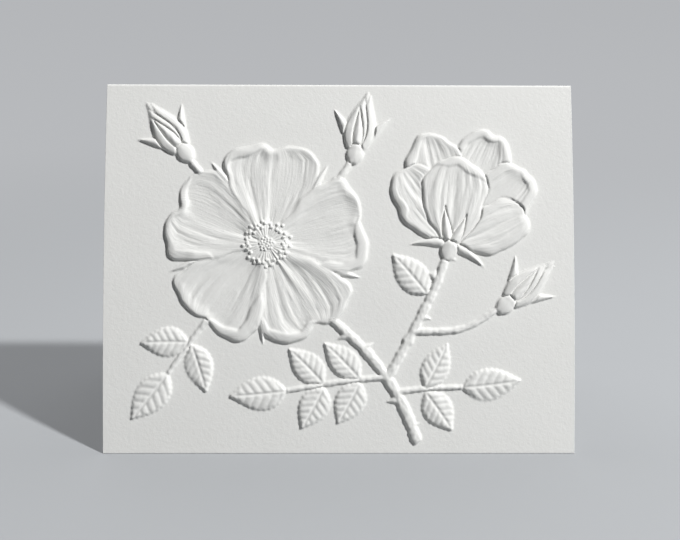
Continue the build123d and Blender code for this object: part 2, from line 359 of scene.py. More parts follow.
# %% [markdown]
# ## Stems and prickles
# A stem is the places near a line, rounded like half a rod. Its width swells at the knots where
# stalks leave it, and its bark is a shallow, uneven ripple. Prickles are small hooked wedges.

# %% Stems and prickles
def stem(route, root_width, tip_width, lift, seed, knots=()):
    """Half a rod along a route, with knots at the given distances from its root."""
    line = smooth_line([spot(*place) for place in route], closed=False, steps=14)
    widths = np.linspace(root_width, tip_width, len(line))
    window = window_of(line, 3)
    x, y = grid_x[window], grid_y[window]
    nearest = np.zeros((4, *x.shape))
    nearest[0] = 1e9
    total = 0.0
    for a, b, w0, w1 in zip(line, line[1:], widths, widths[1:]):
        e = b - a
        size = math.hypot(*e)
        t = np.clip(((x - a[0]) * e[0] + (y - a[1]) * e[1]) / (size**2 + 1e-12), 0, 1)
        here = np.hypot(x - a[0] - t * e[0], y - a[1] - t * e[1])
        aside = here * np.sign((x - a[0]) * e[1] - (y - a[1]) * e[0])
        found = [here, (w0 + (w1 - w0) * t) / 2, total + t * size, aside]
        nearest = np.where(here < nearest[0], found, nearest)
        total += size
    gap, half, run, side = nearest
    swell = 1 + 0.08 * np.sin(1.3 * run + seed) + 0.06 * np.sin(3.1 * run + 2 * seed)
    swell = swell + 0.09 * patches(1.1 * run, 0.4 * side + seed)
    for place, size in knots:
        swell = swell + size * hill(run - place, 1)
    share = gap / (half * swell)
    rod = np.sqrt(np.clip(1 - share**2, 0, 1))
    bark = patches(0.9 * run + 3 * seed, 2.2 * side) + 0.7 * patches(2.1 * run, 3.1 * side + seed)
    top = lift * (0.35 + 0.65 * rod) + 0.13 * bark * rod**2 + 0.2 * (swell - 1)
    along = (line[1] - line[0]) / np.linalg.norm(line[1] - line[0])
    cut_across = along + 0.35 * np.array([-along[1], along[0]])
    past_cut = (x - line[0, 0]) * cut_across[0] + (y - line[0, 1]) * cut_across[1]
    cover = ramp(1.1, 0.94, share) * ramp(-0.35, 0, past_cut + 0.2 * root_width)
    relief[window] = np.maximum(relief[window], top * cover)


def prickle(across, up, heading):
    """A short hooked wedge beside a stem."""
    form = Form(spot(across, up), heading, 3.4, 3.0, [(0, 1), (0.35, 0.72), (0.65, 0.34), (1, 0)], bend=-0.12)
    press(form, lambda u, v, w, d: (0.72 - 0.2 * w**2) * wall(d, 0.25), over=False)


leaf_pitch = 10.8
first_pair = 0.7  # of a leaf pitch, from the stalk's root


def along_spray(across, up, heading, steps):
    """The place a number of leaf pitches along a spray's stalk."""
    right, higher = leaf_pitch * steps * toward(heading)
    return across + right / panel_width, up + higher / front_height


sprays = [(0.600, 0.205, 188, 2), (0.625, 0.165, 4, 1), (0.218, 0.352, 234, 1)]
for number, (across, up, heading, pairs) in enumerate(sprays):
    reach = pairs + first_pair
    middle_across, middle_up = along_spray(across, up, heading, reach / 2)
    arched = (middle_across, middle_up + 0.42 / front_height)
    stem([(across, up), arched, along_spray(across, up, heading, reach + 0.12)], 1.6, 1.2, 0.72, 5 + number)
bud_stalks = [
    ([(0.235, 0.72), (0.195, 0.765), (0.165, 0.815)], 3),
    ([(0.47, 0.70), (0.51, 0.755), (0.535, 0.815)], 4),
    ([(0.655, 0.325), (0.765, 0.335), (0.86, 0.405)], 9),
]
for route, seed in bud_stalks:
    stem(route, 1.8, 1.5, 0.85, seed)
branch = [(0.602, 0.20), (0.645, 0.30), (0.68, 0.385), (0.71, 0.465), (0.735, 0.56)]
stem(branch, 2.5, 2.1, 0.9, 10, [(13, 0.25), (24, 0.2), (33, 0.15)])
main_stem = [(0.665, 0.035), (0.640, 0.115), (0.607, 0.19), (0.555, 0.275), (0.470, 0.375)]
stem(main_stem, 2.9, 2.2, 0.9, 12, [(9.5, 0.22), (18.5, 0.3), (29, 0.2)])
prickles = [(0.648, 0.07, 28), (0.623, 0.145, 200), (0.705, 0.475, 175)]
prickles += [(0.552, 0.279, 38), (0.517, 0.318, 214), (0.672, 0.366, 352), (0.726, 0.525, 350)]
for place in prickles:
    prickle(*place)
print("stems pressed, highest place", round(relief.max(), 2), "mm")

# %% [markdown]
# ## Leaves
# Rose leaves come in pairs along a stalk, with a larger one at its end, and no two are quite the
# same size. Their edges have small forward teeth, added to the smooth outline as a saw wave that
# starts at the leaf's root on each side. The veins aim at the teeth, sunk between soft pillows.

# %% Leaves
leaf_outline = [
    (0, 0.06), (0.08, 0.42), (0.22, 0.84), (0.40, 1.0), (0.58, 0.92), (0.76, 0.62), (0.90, 0.27), (1.0, 0)
]


def toothed(loop):
    """The outline with forward teeth along both sides."""
    depth = 0.32
    run = run_round(loop)
    half = run[-1] / 2
    pitch = half / round(half / 1.55)
    t = np.arange(0, run[-1], pitch / 6)
    p = np.stack([np.interp(t, run, side) for side in np.vstack([loop, loop[:1]]).T], 1)
    from_root = np.minimum(t, run[-1] - t)
    saw = np.interp(from_root / pitch % 1, [0, 0.75, 1], [0, 1, 0])
    fade = np.clip(from_root / (1.5 * pitch), 0, 1) * np.clip((half - from_root) / pitch, 0.2, 1)
    return p + square_to(p) * (saw * depth * fade)[:, None]


def leaf(root, heading, size, bend):
    """A toothed leaf with a sunk midrib, and soft pillows between its slanting veins."""
    start = root + 0.8 * toward(heading)
    phase, seed = chance.uniform(0, 2 * math.pi, 2)
    curl = chance.uniform(-0.2, 0.2)
    form = Form(start, heading, (15.5 + 3 * curl) * size, (9.2 - 3 * curl) * size, leaf_outline, bend=bend)
    form.loop = toothed(form.loop)

    def height(u, v, w, d):
        off = np.abs(v) * form.width / 2
        uneven = 0.14 * patches(1.6 * v + seed, 3.2 * u + seed)
        back = 0.9 - 0.42 * off_middle(w)**2 + curl * v + uneven
        rib = 0.34 * hill(off, 0.36) * (1 - ramp(0.86, 1, u))
        between = np.abs(np.sin(math.pi * (6.5 * u - 0.95 * np.abs(v) - 0.25 * v * v) + phase / 2))
        pillows = 0.26 * between - 0.17 + 0.05 * patches(7 * v + seed, 13 * u + seed)
        pillows = pillows * ramp(0.1, 0.8, off) * ramp(0.2, 0.9, d) * (1 - ramp(0.85, 1, u))
        return (back - rib + pillows) * wall(d, 0.22)

    press(form, height)


seats = [(0.69, 0.42, 128, 1.0)]
for across, up, heading, pairs in sprays:
    for k in range(pairs):
        root = along_spray(across, up, heading, k + first_pair)
        seats += [(*root, heading + turn, 0.92) for turn in (56, -56)]
    seats.append((*along_spray(across, up, heading, pairs + first_pair), heading, 1.08))
for number, (across, up, heading, size) in enumerate(seats):
    leaf(spot(across, up), heading, size, 0.05 * (-1)**number)
print(len(seats), "leaves pressed")

# %% [markdown]
# ## Buds, sepals and hips
# A bud is three petals wrapped round each other, so three overlapping pods with slightly different
# headings make it, the front one highest. Sepals are narrow blades with a ridge. The hip below a
# flower is shaped like a small urn, with a collar where the sepals leave it.

# %% Buds, sepals and hips
bud_outline = [
    (0, 0.40), (0.10, 0.74), (0.22, 0.95), (0.36, 0.99), (0.52, 0.88), (0.70, 0.60), (0.86, 0.28), (1.0, 0)
]
sepal_outline = [(0, 0.55), (0.15, 0.85), (0.34, 1.0), (0.55, 0.84), (0.75, 0.50), (0.90, 0.20), (1.0, 0)]
hip_outline = [(0, 0.36), (0.14, 0.66), (0.34, 0.94), (0.58, 1.0), (0.80, 0.80), (0.93, 0.62), (1.0, 0.50)]


def pod(form, lift, rise):
    """A rounded form with furrows along it."""
    seed = chance.uniform(0, 2 * math.pi)

    def height(u, v, w, d):
        fine = (0.10 * furrows(u, w, seed) - strokes(u, w, seed, 0.05)) * ramp(0.3, 1.0, d)
        edge = 0.10 * hill(d - 0.35, 0.3)
        to_tip = ramp(0.6, 1.0, u)
        top = lift * (1 - 0.62 * to_tip) - rise * off_middle(w)**2 * (1 - to_tip)
        return (top + (fine + edge) * (1 - to_tip)) * wall(d, 0.26)

    press(form, height, grained=True)


def sepal(root, heading, bend, length=14.0, lift=1.45, width=3.2, over=True):
    """A narrow blade with a ridge, thinner towards its tip."""
    form = Form(root, heading, length, width, sepal_outline, bend=bend)

    def height(u, v, w, d):
        ridge = 0.2 * hill(w, 0.2) + 0.05 * np.sin(26 * u + 5 * w)
        return (lift - 0.42 * w**2 + ridge) * wall(d, 0.22) * (1 - 0.25 * u)

    press(form, height, over=over)


def hip(root, heading):
    """The small urn below a flower, with a collar at its mouth."""
    size, lift = 5.4, 1.6
    start = root - 0.82 * size * toward(heading)
    form = Form(start, heading, 1.12 * size, 0.96 * size, hip_outline)
    seed = chance.uniform(0, 2 * math.pi)

    def height(u, v, w, d):
        belly = 1 - 0.3 * np.clip(np.abs(2 * u - 1.05), 0, 1.1)**3
        dome = 0.4 + 0.6 * np.sqrt(np.clip(1 - 0.94 * w**2, 0, 1)) * belly
        ribs = 0.035 * np.sin(6 * w + seed) * ramp(0.2, 0.9, d)
        collar = 0.2 * hill(u - 0.88, 0.07)
        return (lift * dome + ribs - collar) * wall(d, 0.2)

    press(form, height)


for across, up, heading in [(0.535, 0.815, 78), (0.165, 0.815, 128), (0.86, 0.405, 42)]:
    root, ahead = spot(across, up), toward(heading)
    left = np.array([-ahead[1], ahead[0]])
    sepal(root, heading + 34, 0.1)
    sepal(root, heading - 30, -0.1)
    pod(Form(root, heading, 18.0, 9.5, bud_outline), 1.15, 0.75)
    pod(Form(root - 1.0 * left, heading - 2, 17.2, 6.6, bud_outline, bend=0.04), 1.32, 0.6)
    pod(Form(root + 1.19 * left, heading + 1, 16.2, 6.84, bud_outline, bend=-0.05), 1.5, 0.6)
    sepal(root, heading + 4, 0.05, length=13.5, lift=1.62)
    hip(root, heading)
print("buds pressed, highest place", round(relief.max(), 2), "mm")

# %% [markdown]
# ## The open rose and the half open one
# In the open rose each petal lies over the next, all the way round, which no order of pressing can
# give. So its petals are tilted, and the higher surface wins. The half open rose is seen from its
# side, and its petals are simply pressed from the back to the front.

# %% The two roses
rose_centre = spot(0.345, 0.56)
rose_headings = [14 + 72 * k for k in range(5)]
rose_lips = [
    [(-0.75, 0.9, 3.8, 0.28)], [(0.6, 0.6, 3.0, 0.24)], [(-0.15, 0.5, 2.4, 0.22), (1.1, 0.6, 3.0, 0.24)],
    [(0.9, 0.9, 4.0, 0.28)], [(-0.6, 0.7, 3.2, 0.24)],
]
for heading in rose_headings:
    between = heading + 36
    sepal(rose_centre + 15 * toward(between), between, 0.08, length=15.0, lift=0.95, over=False)
for heading in rose_headings:
    press(Form(rose_centre, heading, 29.2, 27.6, petal_left), lambda u, v, w, d: 0 * u)
for k, heading in enumerate(rose_headings):
    outlines = (petal_left, petal_right) if k % 2 else (petal_right, petal_left)
    form = Form(rose_centre, heading, 30, 29, *outlines)
    petal(form, 0.96, 0.68, tilt=0.22, shoulder=0.2, ruffle=0.3, furrow=0.31, lips=rose_lips[k], over=False)

cup_root, cup_heading = spot(0.735, 0.555), 76
cup_petals = [
    (-6, 1.0, 1.0, 0.6, 0.0, [(0.3, 0.7, 2.6, 0.2)]),
    (24, 0.93, 0.95, 0.6, 0.0, [(0.5, 0.7, 3.0, 0.22)]),
    (-32, 0.88, 0.95, 0.5, 0.0, [(-0.4, 0.7, 3.0, 0.22)]),
    (44, 0.74, 0.85, 0.25, 0.3, [(0.9, 0.8, 2.6, 0.2)]),
    (-52, 0.68, 0.80, 0.25, 0.3, [(-0.8, 0.8, 2.6, 0.2)]),
    (8, 0.72, 1.05, 0.1, 0.4, [(-0.2, 0.7, 3.4, 0.25)]),
]
for number, (turn, length_share, width_share, dish, shoulder, lips) in enumerate(cup_petals):
    side = math.copysign(1, turn)
    outlines = (cup_outline, cup_outline_b) if number % 2 else (cup_outline_b, cup_outline)
    length, width = 37 * length_share, 19 * width_share
    form = Form(cup_root, cup_heading + turn, length, width, *outlines, bend=0.03 * side)
    rim = 0.92 + 0.075 * number
    petal(form, rim, dish, tilt=0.16 * side, shoulder=shoulder, ruffle=0.18, furrow=0.27, lips=lips)
cup_sepals = [
    (80, 0.42, 11.5, 1.1, 2.9), (-86, -0.42, 11.5, 1.1, 2.9),
    (30, -0.16, 12.0, 1.62, 3.2), (-24, 0.18, 10.5, 1.66, 3.0),
]
for turn, *shape in cup_sepals:
    sepal(cup_root, cup_heading + turn, *shape)
hip(cup_root, cup_heading)
print("roses pressed, highest place", round(relief.max(), 2), "mm")

# %% [markdown]
# ## The rose's eye
# Round the pistil stand the stamens: fine threads that spread like rays. Their threads are part of
# the height field. Their beads come later, from Geometry Nodes, because they repeat.

# %% The eye and its threads
eye_radius, knob_radius = 7.6, 2.9
dx, dy = grid_x - rose_centre[0], grid_y - rose_centre[1]
from_eye = np.hypot(dx, dy)
around = np.arctan2(dy, dx)
threads = 0.5 + 0.5 * np.sin(34 * around + 1.2 * np.sin(5 * around))
ring = ramp(7.4, 5.6, from_eye + 0.5 * np.sin(11 * around)) * ramp(1.6, 2.6, from_eye)
relief += ring * (0.42 - relief * 0.35 + 0.22 * threads)
knob = ramp(knob_radius, 2.3, from_eye)
knob_height = 0.95 + 0.3 * np.sqrt(np.clip(1 - (from_eye / knob_radius)**2, 0, 1))
relief = relief * (1 - knob) + knob * knob_height
in_eye = from_eye < eye_radius
print("eye pressed, highest place in it", round(relief[in_eye].max(), 2), "mm")

# %% [markdown]
# ## Paper drapes over the die
# Thick paper can't climb a high wall, so a die's outer walls are low and round off above: the
# height is held under a limit that grows with the distance from the plain paper, here called room.
# Paper can't follow a sharp corner either, so the limit cuts in smoothly and the finished heights
# are averaged a little. The back of the sheet follows at the paper's own thickness, measured square
# to the surface. Taking the lowest point of a ball of that radius rolled under the front gives
# exactly this.

# %% Drape the front and find the back of the sheet
def blurred(field, radius):
    """The field averaged over about radius samples."""
    reach = int(3 * radius) + 1
    weights = np.exp(-0.5 * (np.arange(-reach, reach + 1) / radius)**2)
    weights /= weights.sum()
    for axis in (0, 1):
        padded = np.pad(field, [(reach, reach) if a == axis else (0, 0) for a in (0, 1)], "edge")
        count = field.shape[axis]
        field = sum(w * np.take(padded, np.arange(k, k + count), axis) for k, w in enumerate(weights))
    return field


plain_below = 0.03
room_squared = np.where(relief > plain_below, 100.0, 0.0)
for axis in (1, 0):
    before = room_squared
    for k in range(1, 25):
        for shift in (k, -k):
            room_squared = np.minimum(room_squared, np.roll(before, shift, axis) + (k * sample)**2)
room = np.sqrt(room_squared)

first_rise, shoulder_rise, shoulder_width, slope = 0.4, 0.52, 0.5, 0.16
free = ramp(3.0, 3.7, room)  # so far inside that nothing holds the height down
highest = first_rise + shoulder_rise * wall(room, shoulder_width) + slope * room + 2 * free
blend = 0.15
too_high = np.clip(0.5 + 0.5 * (relief - highest) / blend, 0, 1)
relief = relief * (1 - too_high) + highest * too_high - blend * too_high * (1 - too_high)
relief = blurred(relief, 0.7)

reach = int(paper / sample)
hollow = relief - paper
for a in range(-reach, reach + 1):
    for b in range(-reach, reach + 1):
        apart = math.hypot(a, b) * sample
        if apart < paper:
            hollow = np.minimum(hollow, np.roll(relief, (a, b), (0, 1)) - math.sqrt(paper**2 - apart**2))
hollow = blurred(hollow, 1.5)
print(f"relief 0 to {relief.max():.2f} mm, thinnest paper {(relief - hollow).min():.2f} mm")

# %% [markdown]
# ## From heights to a mesh
# Cells of one size small enough for the furrows would need over a million triangles. A quadtree
# splits a cell only where four corners can't describe the surface, so plain paper stays coarse and
# rims get fine cells. The smallest cells are kept for the sharpest places and for the rose's eye,
# whose beads need them. Cells beside finer ones are fanned from their middle, so no gap opens.

# %% A quadtree over the height field
def cells_of(field, tolerance, finest, last_tolerance=1.0, always=None):
    """Leaf cells as (size, rows, columns) for a height field."""
    split = {}
    sizes = []
    while STEP >> len(sizes) > finest:
        sizes.append(STEP >> len(sizes))
    for size in sizes:
        a, b = field[:-1:size, :-1:size], field[:-1:size, size::size]
        c, d = field[size::size, :-1:size], field[size::size, size::size]
        error = np.zeros_like(a)
        for j in range(size + 1):
            for i in range(size + 1):
                s, t = i / size, j / size
                flat = (a * (1 - s) + b * s) * (1 - t) + (c * (1 - s) + d * s) * t
                there = field[j:j + (a.shape[0] - 1) * size + 1:size, i:i + (a.shape[1] - 1) * size + 1:size]
                error = np.maximum(error, np.abs(there - flat))
        split[size] = error > (last_tolerance if size == 2 else tolerance)
        if always is not None:
            rows, cols = a.shape
            split[size] |= always[:-1, :-1].reshape(rows, size, cols, size).any((1, 3))
    for size in sizes[:0:-1]:
        fine = split[size]
        parent = fine.reshape(fine.shape[0] // 2, 2, fine.shape[1] // 2, 2).any((1, 3))
        spread = np.pad(parent, 1)
        near = spread[2:, 1:-1] | spread[:-2, 1:-1] | spread[1:-1, 2:] | spread[1:-1, :-2] | parent
        split[2 * size] |= near
    exists = np.ones_like(split[STEP])
    leaves = []
    for size in sizes:
        leaves.append((size, *np.nonzero(exists & ~split[size])))
        exists = np.kron(exists & split[size], np.ones((2, 2), bool))
    return [*leaves, (finest, *np.nonzero(exists))]


def mesh_of(field, leaves, side):
    """Points as (row, column, height) and faces for the cells, facing up (1) or down (-1)."""
    used = np.zeros(field.shape, bool)
    for size, j, i in leaves:
        for down, right in ((0, 0), (0, 1), (1, 0), (1, 1)):
            used[(j + down) * size, (i + right) * size] = True
    number = np.full(field.shape, -1)
    number[used] = np.arange(used.sum())
    rows, cols = np.nonzero(used)
    points = [np.stack([rows, cols, field[used]], 1)]
    count = len(rows)
    faces = []
    for size, j, i in leaves:
        y, x, half = j * size, i * size, size // 2
        ring = [(y, x), (y, x + half), (y, x + size), (y + half, x + size)]
        ring += [(y + size, x + size), (y + size, x + half), (y + size, x), (y + half, x)]
        ids = np.stack([number[place] for place in ring], 1)
        if size == 1:
            ids[:, 1::2] = -1
        hangs = ids[:, 1::2] >= 0
        plain = ~hangs.any(1)
        faces += ids[plain][:, ::2].tolist()
        fanned = ids[~plain]
        if len(fanned):
            middle = np.stack([y + half, x + half], 1)[~plain]
            points.append(np.column_stack([middle, field[middle[:, 0], middle[:, 1]]]))
            for k, around_cell in enumerate(fanned):
                loop = [n for n in around_cell if n >= 0]
                faces += [[count + k, a, b] for a, b in zip(loop, loop[1:] + loop[:1])]
            count += len(fanned)
    return np.vstack(points), [face[::side] for face in faces], number


front_cells = cells_of(relief, tolerance=0.038, finest=1, last_tolerance=0.115, always=in_eye)
back_cells = cells_of(hollow, tolerance=0.12, finest=4)
front, back = mesh_of(relief, front_cells, 1), mesh_of(hollow, back_cells, -1)
print("front faces", len(front[1]), "back faces", len(back[1]))

# %% [markdown]
# ## Close the flat sheet
# The fold and the plain back panel need only rows of wide cells. Then the two faces are joined by
# a strip round the cut edge, whose corners are rounded off by a few hundredths of a millimetre, as
# a blade leaves them. The result is one closed flat sheet, still lying down.

# %% Join the faces, the fold, the back panel and the cut edge
edge_round = 0.06
rows_in_fold, rows_behind = 12, 45
fold_rows = front_run + fold_run * np.arange(1, rows_in_fold + 1) / rows_in_fold
behind_rows = np.interp(np.arange(1, rows_behind + 1), [1, rows_behind], [below_fold, back_run])
sheet_run = front_run + fold_run + back_run
coarse = np.arange(0, COLUMNS * STEP + 1, STEP)
vertices, faces, rims = [], [], []
for (points, cell_faces, number), side in ((front, 1), (back, -1)):
    start = len(vertices)
    x = across_mm[points[:, 1].astype(int)]
    y = up_mm[points[:, 0].astype(int)]
    vertices += np.stack([x, y, points[:, 2] + paper / 2], 1).tolist()
    faces += [[start + n for n in face] for face in cell_faces]
    rows = [start + number[-1, coarse]]
    for y in [*fold_rows, *(front_run + fold_run + behind_rows)]:
        rows.append(len(vertices) + np.arange(COLUMNS + 1))
        vertices += [[x, y, side * paper / 2] for x in across_mm[coarse]]
    for lower, upper in zip(rows, rows[1:]):
        strip = np.stack([lower[:-1], lower[1:], upper[1:], upper[:-1]], 1)
        faces += strip[:, ::side].tolist()
    near = start + number[0, coarse]
    left, right = ([*(start + number[STEP:-1:STEP, end]), *(row[end] for row in rows)] for end in (0, -1))
    rims.append([*near, *right, *rows[-1][-2::-1], *left[-2::-1]])
flat = np.array(vertices)

outer_rim, inner_rim = rims
edge_xy = flat[outer_rim, :2]
low = np.array([-panel_width / 2, 0.0]) + edge_round
high = np.array([panel_width / 2, sheet_run]) - edge_round
flat[outer_rim, :2] = flat[inner_rim, :2] = np.clip(edge_xy, low, high)
loops = [outer_rim]
for level in (paper / 2 - edge_round, -paper / 2 + edge_round):
    loops.append(list(range(len(flat), len(flat) + len(outer_rim))))
    flat = np.vstack([flat, np.column_stack([edge_xy, np.full(len(edge_xy), level)])])
loops.append(inner_rim)
edge_start = len(faces)
for upper, lower in zip(loops, loops[1:]):
    for a, b, c, d in zip(lower, lower[1:] + lower[:1], upper[1:] + upper[:1], upper):
        faces.append([a, b, c, d])
print(len(flat), "points,", sum(len(face) - 2 for face in faces), "triangles")

# %% [markdown]
# ## The flat sheet as an object
# Marks on the mesh tell the later steps what they need: which faces are the cut edge, which edges
# stay crisp, where the die has pressed, and how the forms' own directions run.

# %% Make the flat sheet an object
mesh = bpy.data.meshes.new("flat_sheet")
mesh.from_pydata((flat * MM).tolist(), [], [[int(n) for n in face] for face in faces])
mesh.update()
mesh.shade_smooth()
on_rim = np.zeros(len(flat), bool)
on_rim[sum(loops, [])] = True
ends = np.zeros(2 * len(mesh.edges), int)
mesh.edges.foreach_get("vertices", ends)
creases = on_rim[ends.reshape(-1, 2)].all(1)
cut = np.arange(len(faces)) >= edge_start
near_row = np.clip(np.searchsorted(up_mm, flat[:, 1]), 0, len(up_mm) - 1)
near_column = np.clip(np.searchsorted(across_mm, flat[:, 0]), 0, len(across_mm) - 1)
on_front = flat[:, 1] <= front_run
pressed = np.where(on_front, ramp(0.05, 0.5, relief[near_row, near_column]), 0)
grain = [field[near_row, near_column] * on_front for field in (grain_across, grain_along)]
grain = np.column_stack([*grain, np.zeros(len(flat))]) * MM
for name, kind, domain, field, values in (
    ("sharp_edge", "BOOLEAN", "EDGE", "value", creases),
    ("cut_edge", "BOOLEAN", "FACE", "value", cut),
    ("pressed", "FLOAT", "POINT", "value", pressed),
    ("grain", "FLOAT_VECTOR", "POINT", "vector", grain.ravel()),
):
    mesh.attributes.new(name, kind, domain).data.foreach_set(field, values)
sheet = placed("embossed_sheet", mesh)
print("cut edge faces", int(cut.sum()), "creased edges", int(creases.sum()))

# %% [markdown]
# ## Short calls for node trees
# Every node tree below is built from the same few moves: make a node, set or link its inputs, take
# its result. A small class keeps those moves short, so that the rules themselves stay readable.

# %% Node groups, nodes and modifiers
def tree_of(name, kind, inputs, outputs):
    """An empty node group with named inputs and outputs."""
    tree = bpy.data.node_groups.new(name, kind)
    for way, sockets in (("INPUT", inputs), ("OUTPUT", outputs)):
        for label, data in sockets.items():
            tree.interface.new_socket(label, in_out=way, socket_type="NodeSocket" + data)
    return tree


def live(sockets):
    """The sockets that a node's settings leave in use."""
    return [socket for socket in sockets if socket.enabled]


class Nodes:
    """Short calls for the nodes of one tree."""

    def __init__(self, tree, group=True):
        self.tree = tree
        four = ("ADD", "SUBTRACT", "MULTIPLY", "DIVIDE")
        self.plus, self.minus, self.times, self.over = (partial(self.math, name) for name in four)
        if group:
            self.inputs = tree.nodes.new("NodeGroupInput").outputs
            self.output = tree.nodes.new("NodeGroupOutput").inputs

    def feed(self, socket, value):
        """Link a socket, or set its value."""
        if isinstance(value, bpy.types.NodeSocket):
            self.tree.links.new(value, socket)
        elif value is not None:
            socket.default_value = value

    def fill(self, node, values):
        """Feed a node's inputs, by their names or in their order."""
        named = isinstance(values, dict)
        inputs = node.inputs if named else live(node.inputs)
        for key, value in values.items() if named else enumerate(values):
            self.feed(inputs[key], value)

    def node(self, kind, values=(), **settings):
        """A node with its settings and its inputs."""
        node = self.tree.nodes.new(kind)
        for key, value in settings.items():
            setattr(node, key, value)
        self.fill(node, values)
        return node

    def result(self, kind, values=(), **settings):
        """A new node's first output."""
        return live(self.node(kind, values, **settings).outputs)[0]

    def math(self, operation, *values):
        """A Math node's result."""
        return self.result("ShaderNodeMath", values, operation=operation)

    def vector(self, operation, *values):
        """A Vector Math node's result."""
        return self.result("ShaderNodeVectorMath", values, operation=operation)

    def joined(self, *values):
        """A vector from its X, Y and Z."""
        return self.result("ShaderNodeCombineXYZ", values)

    def parts(self, vector):
        """X, Y and Z of a vector."""
        return self.node("ShaderNodeSeparateXYZ", [vector]).outputs

    def mapped(self, *values, **settings):
        """A value brought from one range to another."""
        return self.result("ShaderNodeMapRange", values, **settings)

    def noise(self, vector, scale, detail, roughness, distortion):
        """A Noise Texture's value, about 0 to 1."""
        values = {"Vector": vector, "Scale": scale, "Detail": detail, "Roughness": roughness}
        return self.result("ShaderNodeTexNoise", {**values, "Distortion": distortion})


def run_modifier(target, tree, values):
    """Put a tree on an object and set its inputs by their identifiers."""
    modifier = target.modifiers.new(tree.name, "NODES")
    modifier.node_group = tree
    for item in tree.interface.items_tree:
        if item.in_out == "INPUT" and item.name in values:
            modifier[item.identifier] = values[item.name]


print("node trees for Blender", bpy.app.version_string)

# %% [markdown]
# ## Beads by Geometry Nodes
# The anthers are many like beads on a spiral, the rule of many flower heads. The tree spreads the
# points, measures each place's distance to the nearest one, and lifts the outer face into a dome
# there. Lifting keeps one sheet of paper, where separate balls would only rest on it.

# %% The bead tree
geometry = {"Geometry": "Geometry"}
beads = tree_of("spiral_beads", "GeometryNodeTree", {
    **geometry, "Centre": "Vector", "Beads": "Int", "Inner radius": "Float", "Outer radius": "Float",
    "Bead radius": "Float", "Bead height": "Float", "Seed": "Int"
}, geometry)
n = Nodes(beads)
index = n.result("GeometryNodeInputIndex")
share = n.over(n.plus(index, 0.5), n.inputs["Beads"])
inner, outer = (n.times(n.inputs[name], n.inputs[name]) for name in ("Inner radius", "Outer radius"))
reach = n.math("SQRT", n.plus(inner, n.times(share, n.minus(outer, inner))))
jitter = n.result("FunctionNodeRandomValue", [0.93, 1.07, None, n.inputs["Seed"]], data_type="FLOAT")
reach = n.times(reach, jitter)
golden = n.times(index, math.pi * (3 - math.sqrt(5)))
ray = n.joined(n.math("COSINE", golden), n.math("SINE", golden))
place = n.vector("ADD", n.inputs["Centre"], n.vector("SCALE", ray, reach))
points = n.result("GeometryNodePoints", [n.inputs["Beads"], place])
here = n.parts(n.result("GeometryNodeInputPosition"))
level = n.joined(here["X"], here["Y"])
near = n.node("GeometryNodeProximity", [points, None, level], target_element="POINTS").outputs["Distance"]
gap = n.over(near, n.inputs["Bead radius"])
dome = n.math("SQRT", n.math("MAXIMUM", n.minus(1.0, n.times(gap, gap)), 0.0))
lift = n.joined(0.0, 0.0, n.times(dome, n.inputs["Bead height"]))
facing = n.parts(n.result("GeometryNodeInputNormal"))["Z"]
outer_face = n.math("GREATER_THAN", facing, 0.0)
raised = n.result("GeometryNodeSetPosition", [n.inputs["Geometry"], outer_face, None, lift])
n.feed(n.output["Geometry"], raised)

eye = (float(rose_centre[0]) * MM, float(rose_centre[1]) * MM, 0.0)
# the anthers round the eye, then the stigmas on its middle, in metres
bead_sets = [(44, 0.0046, 0.0071, 0.00055, 0.00042, 3), (22, 0.0, 0.0022, 0.00042, 0.00028, 5)]
bead_inputs = ("Beads", "Inner radius", "Outer radius", "Bead radius", "Bead height", "Seed")
for bead_set in bead_sets:
    run_modifier(sheet, beads, {"Centre": eye, **dict(zip(bead_inputs, bead_set))})
print("bead trees on the sheet:", [modifier.name for modifier in sheet.modifiers])

# %% [markdown]
# ## Fold the sheet by rule
# A fold is a turning angle that grows along the sheet: slowly over the bowed front, fast round the
# fold, not at all down the back. The tree reads how far along each place is, works out that angle
# and adds up three moves: along the bow, round the fold and down the back. Height above the sheet
# turns with it, so the relief stays square to the paper.

# %% The folding tree
folding = tree_of("fold_a_sheet", "GeometryNodeTree", {
    **geometry, "Bow radius": "Float", "Foot angle": "Float", "Bow centre": "Vector", "Front run": "Float",
    "Fold radius": "Float", "Fold angle": "Float", "Paper": "Material", "Cut edge": "Material"
}, geometry)
n = Nodes(folding)
place = n.parts(n.result("GeometryNodeInputPosition"))


def turned(direction, angle):
    """A direction turned up the sheet by an angle, about the card's width."""
    return n.result("ShaderNodeVectorRotate", [direction, None, n.times(angle, -1.0)], rotation_type="X_AXIS")


on_front = n.math("MINIMUM", place["Y"], n.inputs["Front run"])
past_front = n.math("MAXIMUM", n.minus(place["Y"], n.inputs["Front run"]), 0.0)
bow_angle = n.plus(n.inputs["Foot angle"], n.over(on_front, n.inputs["Bow radius"]))
turn_in_fold = n.math("MINIMUM", n.over(past_front, n.inputs["Fold radius"]), n.inputs["Fold angle"])
angle = n.plus(bow_angle, turn_in_fold)
fold_length = n.times(n.inputs["Fold radius"], n.inputs["Fold angle"])
on_back = n.math("MAXIMUM", n.minus(past_front, fold_length), 0.0)

